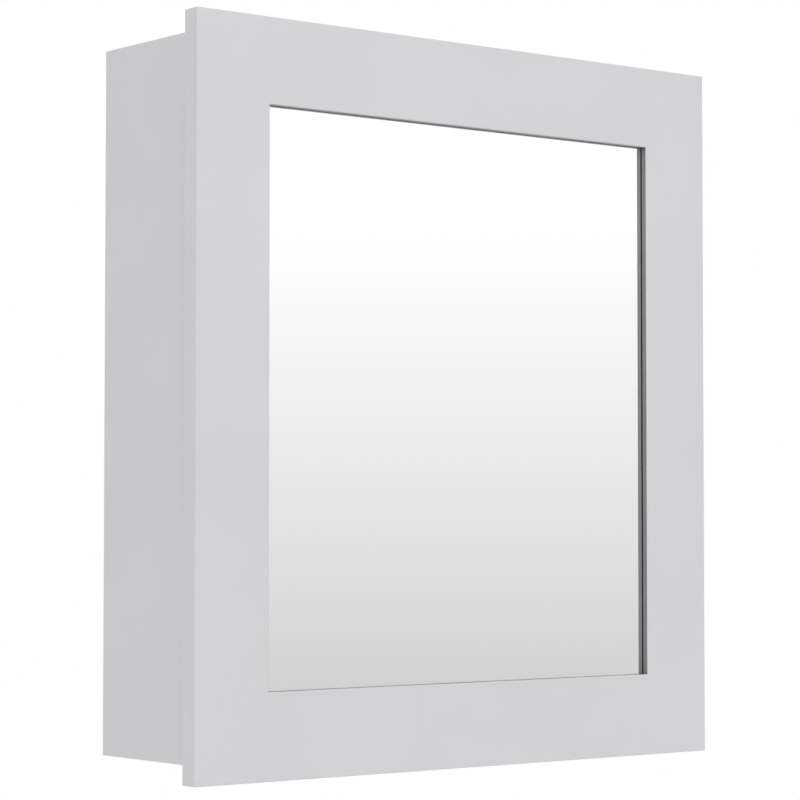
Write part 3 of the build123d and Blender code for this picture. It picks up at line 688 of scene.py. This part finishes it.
# Painted shade: the lip's back over the tape is coloured near-black, standing in for the shade of
# the narrow gap.
behind_lip = sums(tree, "GREATER_THAN", along(tree, "Y"), lip_back - REVEAL_EDGE)
over_tape = spread(tree, outside, (1.0, 0.0), LIP_BACK_WIDTH, LIP_BACK_WIDTH + REVEAL_EDGE)
on_lip_back_painted_shade = sums(tree, "MULTIPLY", behind_lip, over_tape)
film_colour = shader.inputs["Base Color"].links[0].from_socket
colour_with_reveal_shade = tinted(tree, in_reveal_painted_shade, film_colour, REVEAL_PAINTED_SHADE)
connect(tree, shader, Base_Color=tinted(tree, on_lip_back_painted_shade, colour_with_reveal_shade, LIP_BACK_PAINTED_SHADE))
dress(frame_lacquer_with_painted_shade, "left_stile", "right_stile", "top_rail", "bottom_rail")
dowel = fluted_dowel(DOOR_DOWEL_LENGTH)
dowels = set_out(dowel, X_AXIS, middles("door_frame_dowels"), spin=DOWEL_SPIN)
add_piece("fluted_door_dowels", dowels, beech, "door", "beech", "door_frame_dowels")

# The mirror is 4 mm float glass, silvered and painted grey behind, with ground edges. It lies
# on black foam tape on the lip of the frame.
SILVER = (0.965, 0.968, 0.966, 1.0)
BACKING_PAINT = (0.22, 0.25, 0.25, 1.0)
PAINT_ROUGHNESS = 0.5
SILVER_DEPTH = 0.0003
TAPE_BLACK = (0.006, 0.006, 0.006, 1.0)
TAPE_GREY = (0.018, 0.018, 0.018, 1.0)
TAPE_CELLS = 0.0005
TAPE_ROUGHNESS = (0.75, 0.95)
TAPE_DEPTH = 0.00004

silvering, tree, shader = new_finish("silvering")
is_front = sums(tree, "LESS_THAN", along(tree, "Y"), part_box("mirror")[0].y + SILVER_DEPTH)
is_behind = sums(tree, "SUBTRACT", 1.0, is_front)
connect(
    tree,
    shader,
    Base_Color=tinted(tree, is_front, BACKING_PAINT, SILVER),
    Metallic=is_front,
    Roughness=sums(tree, "MULTIPLY", is_behind, PAINT_ROUGHNESS),
)
dress(silvering, "mirror")
foam_tape, tree, shader = new_finish("foam_tape")
cells = clouds(tree, TAPE_CELLS)
connect(
    tree,
    shader,
    Base_Color=tinted(tree, spread(tree, cells, (0.0, 1.0)), TAPE_BLACK, TAPE_GREY),
    Roughness=spread(tree, cells, TAPE_ROUGHNESS),
    Normal=relief(tree, cells, TAPE_DEPTH),
)
dress(foam_tape, "glazing_tape")

# Behind the glass lies a sheet of white closed-cell foam, cut to its size and pressed thinner
# along its edges, and a 3 mm hardboard that keeps it all flat.
FOAM_DEEP = (0.62, 0.64, 0.66, 1.0)
FOAM_PALE = (0.76, 0.77, 0.78, 1.0)
FOAM_CELLS = 0.0008
FOAM_DEPTH = 0.00008
FOAM_ROUGHNESS = (0.70, 0.90)
FOAM_COLUMNS = 240
FOAM_RINGS = (0.12, 0.3, 0.5, 0.7, 0.88, 1.0)
FOAM_EDGE_ROUND = 0.0006
FOAM_DIMPLE = 0.00006
FOAM_DIMPLE_PITCH = (0.017, 0.023)
BOARD_FLECK = 0.0010
BOARD_NAP = 0.0014
BOARD_DEPTH = 0.00002
BOARD_POLISH = 0.02
BOARD_ROUGHNESS = (0.42, 0.58)

foam, tree, shader = new_finish("white_foam")
cells = clouds(tree, FOAM_CELLS, detail=3.0)
connect(
    tree,
    shader,
    Base_Color=tinted(tree, spread(tree, cells, (0.0, 1.0)), FOAM_DEEP, FOAM_PALE),
    Roughness=spread(tree, cells, FOAM_ROUGHNESS),
    Normal=relief(tree, cells, FOAM_DEPTH),
)


def foam_sheet(low, high):
    """A thin sheet in the X-Z plane. Rings shrink from the rectangle's rim to its middle on
    the front and on the back, and both faces dip by a product of sines of x and z."""
    half = (high - low) / 2
    turn = np.linspace(0, 2 * math.pi, FOAM_COLUMNS, endpoint=False)
    reach = np.maximum(np.abs(np.cos(turn)), np.abs(np.sin(turn)))
    rim_x, rim_z = half[0] * np.cos(turn) / reach, half[2] * np.sin(turn) / reach
    front = np.array([(ring, -1.0, 1.0) for ring in FOAM_RINGS])
    rows = np.vstack([front, [(1.0, 0.0, 0.0)], front[::-1] * (1, -1, 1)])
    share, side, inset = rows[:, 0, None], rows[:, 1, None], rows[:, 2, None]
    tuck = FOAM_EDGE_ROUND * (share == 1) * inset
    x = share * rim_x - np.sign(rim_x) * tuck * (np.abs(rim_x) > half[0] - JOIN_DISTANCE)
    z = share * rim_z - np.sign(rim_z) * tuck * (np.abs(rim_z) > half[2] - JOIN_DISTANCE)
    waves = np.sin(x / FOAM_DIMPLE_PITCH[0]) * np.sin(z / FOAM_DIMPLE_PITCH[1])
    y = side * (half[1] - FOAM_DIMPLE * (0.5 + 0.5 * waves))
    points = np.stack([x, y, z], -1) + (low + high) / 2
    return skin(points, points[0].mean(0), points[-1].mean(0))


low, high = solids("cushion_sheet")
sheet = foam_sheet(low[0], high[0])
add_piece("pressed_foam_sheet", sheet, foam, "door", "foam_sheet", "cushion_sheet")
hardboard, tree, shader = new_finish("brown_hardboard")
connect(
    tree,
    shader,
    Base_Color=fibre_board(tree, BOARD_FLECK),
    Roughness=spread(tree, clouds(tree, BOARD_POLISH), BOARD_ROUGHNESS),
    Normal=relief(tree, clouds(tree, BOARD_NAP, detail=3.0), BOARD_DEPTH),
)
dress(hardboard, "backing_board")

# Eight moulded clips hold the layers in the frame. Each has a foot screwed to the frame's back
# by a pan-head screw and a lowered tongue that presses on the hardboard.
CLIP_DEEP = (0.66, 0.67, 0.67, 1.0)
CLIP_PALE = (0.74, 0.75, 0.75, 1.0)
CLIP_DRIFT = 0.006
CLIP_FLOW = 0.0016
CLIP_DEPTH = 0.00001
CLIP_ROUGHNESS = (0.22, 0.34)
CLIP_ROUND = 0.0004

milky_plastic, tree, shader = new_finish("milky_plastic")
drift = spread(tree, clouds(tree, CLIP_DRIFT), (0.0, 1.0))
connect(
    tree,
    shader,
    Base_Color=tinted(tree, drift, CLIP_DEEP, CLIP_PALE),
    Roughness=spread(tree, clouds(tree, CLIP_FLOW), CLIP_ROUGHNESS),
    Normal=relief(tree, clouds(tree, CLIP_FLOW), CLIP_DEPTH),
)
softened(
    "moulded_clips", "retaining_clips", CLIP_ROUND, milky_plastic, "door"
)
screws = set_out(pan_screw, Y_AXIS, seats_on("clip_screws", Y_AXIS), spin=PAN_SCREW_SPIN)
add_piece("driven_clip_screws", screws, zinc_plate, "door", "zinc_steel", "clip_screws")

# The strike plate that the catch pulls on is nickel-plated steel, held to the door's back by
# one countersunk screw.
STRIKE_ROUND = 0.00025

softened("stamped_strike", "strike_plate", STRIKE_ROUND, satin_nickel, "door")
screws = set_out(leaf_screw, Y_AXIS, seats_on("strike_screw", Y_AXIS))
add_piece("driven_strike_screw", screws, satin_nickel, "door", "nickel_steel", "strike_screw")

# Two soft dots of clear polyurethane on the door's back meet the carcass as it shuts.
PAD_DEEP = (0.60, 0.60, 0.59, 1.0)
PAD_PALE = (0.68, 0.68, 0.67, 1.0)
PAD_DRIFT = 0.003
PAD_SKIN = 0.0012
PAD_DEPTH = 0.00001
PAD_ROUGHNESS = (0.18, 0.30)
PAD_STEPS = 9
PAD_FULLNESS = 0.7
PAD_TOP_SHARE = 0.05

soft_pad, tree, shader = new_finish("soft_pad")
drift = spread(tree, clouds(tree, PAD_DRIFT), (0.0, 1.0))
connect(
    tree,
    shader,
    Base_Color=tinted(tree, drift, PAD_DEEP, PAD_PALE),
    Roughness=spread(tree, clouds(tree, PAD_SKIN), PAD_ROUGHNESS),
    Normal=relief(tree, clouds(tree, PAD_SKIN), PAD_DEPTH),
)
low, high = solids("door_bumpers")
pad_radius, pad_height = (high[0, 0] - low[0, 0]) / 2, high[0, 1] - low[0, 1]
rise = np.linspace(math.pi / 2, 0, PAD_STEPS)[1:]
drop = pad_height * (np.sin(rise) ** PAD_FULLNESS - 1)
pad_profile = np.stack([pad_radius * np.cos(rise), drop], -1)
radii, heights = rings(round_turn, (PAD_TOP_SHARE * pad_radius, 0), *pad_profile.tolist())
pads = set_out(turned(radii, heights, round_turn), Y_AXIS, seats_on("door_bumpers", Y_AXIS))
add_piece("domed_bumpers", pads, soft_pad, "door", "soft_bumper", "door_bumpers")

# The studio floor is a wide pale disc well below the cabinet, which hangs clear of it. It
# takes the soft shadow and fades out towards its rim, into the white of the room.
FLOOR_DROP = 1.25
FLOOR_RADIUS = 7.0
FLOOR_SIDES = 96
FLOOR_PALE = (0.86, 0.86, 0.87, 1.0)
FLOOR_FADE = (0.4, 0.95)
FLOOR_ROUGHNESS = 0.9

turn = np.linspace(0, 2 * math.pi, FLOOR_SIDES, endpoint=False)
rim = FLOOR_RADIUS * np.stack([np.cos(turn), np.sin(turn), 0 * turn], -1)
floor_mesh = bpy.data.meshes.new("floor")
floor_mesh.from_pydata((rim - (0, 0, FLOOR_DROP)).tolist(), [], [list(range(FLOOR_SIDES))])
floor = bpy.data.objects.new("floor", floor_mesh)
bpy.context.scene.collection.objects.link(floor)
floor_finish, tree, shader = new_finish(
    "pale_floor", Roughness=FLOOR_ROUGHNESS, Base_Color=FLOOR_PALE
)
point = wire(tree, "TexCoord", {}, "Object")
distance = wire(tree, "VectorMath", {0: point}, "Value", operation="LENGTH")
fade = spread(tree, distance, (0.0, 1.0), *(share * FLOOR_RADIUS for share in FLOOR_FADE))
clear = wire(tree, "BsdfTransparent", {})
faded = wire(tree, "MixShader", {0: fade, 1: shader.outputs[0], 2: clear})
tree.links.new(faded, tree.nodes["Material Output"].inputs["Surface"])
floor_mesh.materials.append(floor_finish)

# The room is a plain white studio. The camera sees it white. What is reflected is grey low
# down and white at eye level, as in the mirror of the photograph, and dimmer overhead, and
# the rest gives an even light that is a little stronger from above.
ROOM_WHITE = (1.0, 1.0, 1.0, 1.0)
AMBIENT = 0.50
AMBIENT_TILT = 0.1
SWEEP_LOW, SWEEP_HIGH = 0.66, 1.04
SWEEP_START, SWEEP_STOP = -0.061, 0.105
CEILING = 0.62
CEILING_START, CEILING_STOP = 0.16, 0.36

world = bpy.data.worlds.new("studio")
bpy.context.scene.world = world
world.use_nodes = True
tree = world.node_tree
tree.nodes.clear()
ray = tree.nodes.new("ShaderNodeLightPath").outputs
mirrored = sums(tree, "MAXIMUM", ray["Is Glossy Ray"], ray["Is Transmission Ray"])
direction = wire(tree, "TexCoord", {}, "Generated")
height = wire(tree, "SeparateXYZ", {0: direction}, "Z")
sweep = spread(tree, height, (SWEEP_LOW, SWEEP_HIGH), SWEEP_START, SWEEP_STOP)
ceiling = spread(tree, height, (0.0, CEILING - SWEEP_HIGH), CEILING_START, CEILING_STOP)
reflected = sums(tree, "ADD", sweep, ceiling)
tilt = (AMBIENT * (1 - AMBIENT_TILT), AMBIENT * (1 + AMBIENT_TILT))
level = spread(tree, height, tilt, -1.0, 1.0)
level = wire(tree, "Mix", {0: mirrored, 2: level, 3: reflected}, 0, data_type="FLOAT")
level = wire(tree, "Mix", {0: ray["Is Camera Ray"], 2: level, 3: 1.0}, 0, data_type="FLOAT")
sky = wire(tree, "Background", {"Color": ROOM_WHITE, "Strength": level})
room = tree.nodes.new("ShaderNodeOutputWorld")
tree.links.new(sky, room.inputs["Surface"])

# Three large softboxes stand round the cabinet, above it: the key to the left of the camera, a
# fill to the right and a third behind, so that the back isn't dead in the other views.
KEY_LEVEL, FILL_LEVEL, REAR_LEVEL = 0.40, 0.33, 0.40
KEY_PLACE, FILL_PLACE, REAR_PLACE = (-55.0, 30.0), (35.0, 35.0), (150.0, 45.0)
FRONT_SIZE, REAR_SIZE = 9.0, 12.0
SOFTBOX_DISTANCE = 10.0


def softbox(name, place, level, size):
    """An area light aimed at the cabinet from an azimuth and elevation in degrees. A level of 1
    lights a facing surface about as a white room of strength 1 does, so its power is pi squared
    times the square of its distance."""
    light = bpy.data.lights.new(name, "AREA")
    light.size = size
    light.energy = level * math.pi**2 * SOFTBOX_DISTANCE**2
    azimuth, elevation = (math.radians(angle) for angle in place)
    across = math.cos(elevation)
    away = Vector(
        (
            math.sin(azimuth) * across,
            -math.cos(azimuth) * across,
            math.sin(elevation),
        )
    )
    lamp = bpy.data.objects.new(name, light)
    lamp.location = SOFTBOX_DISTANCE * away
    lamp.rotation_euler = away.to_track_quat("Z", "Y").to_euler()
    bpy.context.scene.collection.objects.link(lamp)


softbox("key_light", KEY_PLACE, KEY_LEVEL, FRONT_SIZE)
softbox("fill_light", FILL_PLACE, FILL_LEVEL, FRONT_SIZE)
softbox("rear_light", REAR_PLACE, REAR_LEVEL, REAR_SIZE)

# The camera looks at the door from the left and a little below the middle, through a long
# lens from 2.3 m away, at the angle of the photograph.
LENS_LENGTH = 124.6
SENSOR_WIDTH = 36.0
VIEW_PLACE = (-1.3703, -1.7785, -0.0883)
VIEW_ANGLES = (92.446, -0.018, -38.511)

camera = bpy.data.cameras.new("camera")
camera.lens = LENS_LENGTH
camera.sensor_width = SENSOR_WIDTH
viewer = bpy.data.objects.new("camera", camera)
viewer.location = VIEW_PLACE
viewer.rotation_euler = [math.radians(angle) for angle in VIEW_ANGLES]
bpy.context.scene.collection.objects.link(viewer)
bpy.context.scene.camera = viewer
bpy.context.scene.view_settings.view_transform = "Standard"
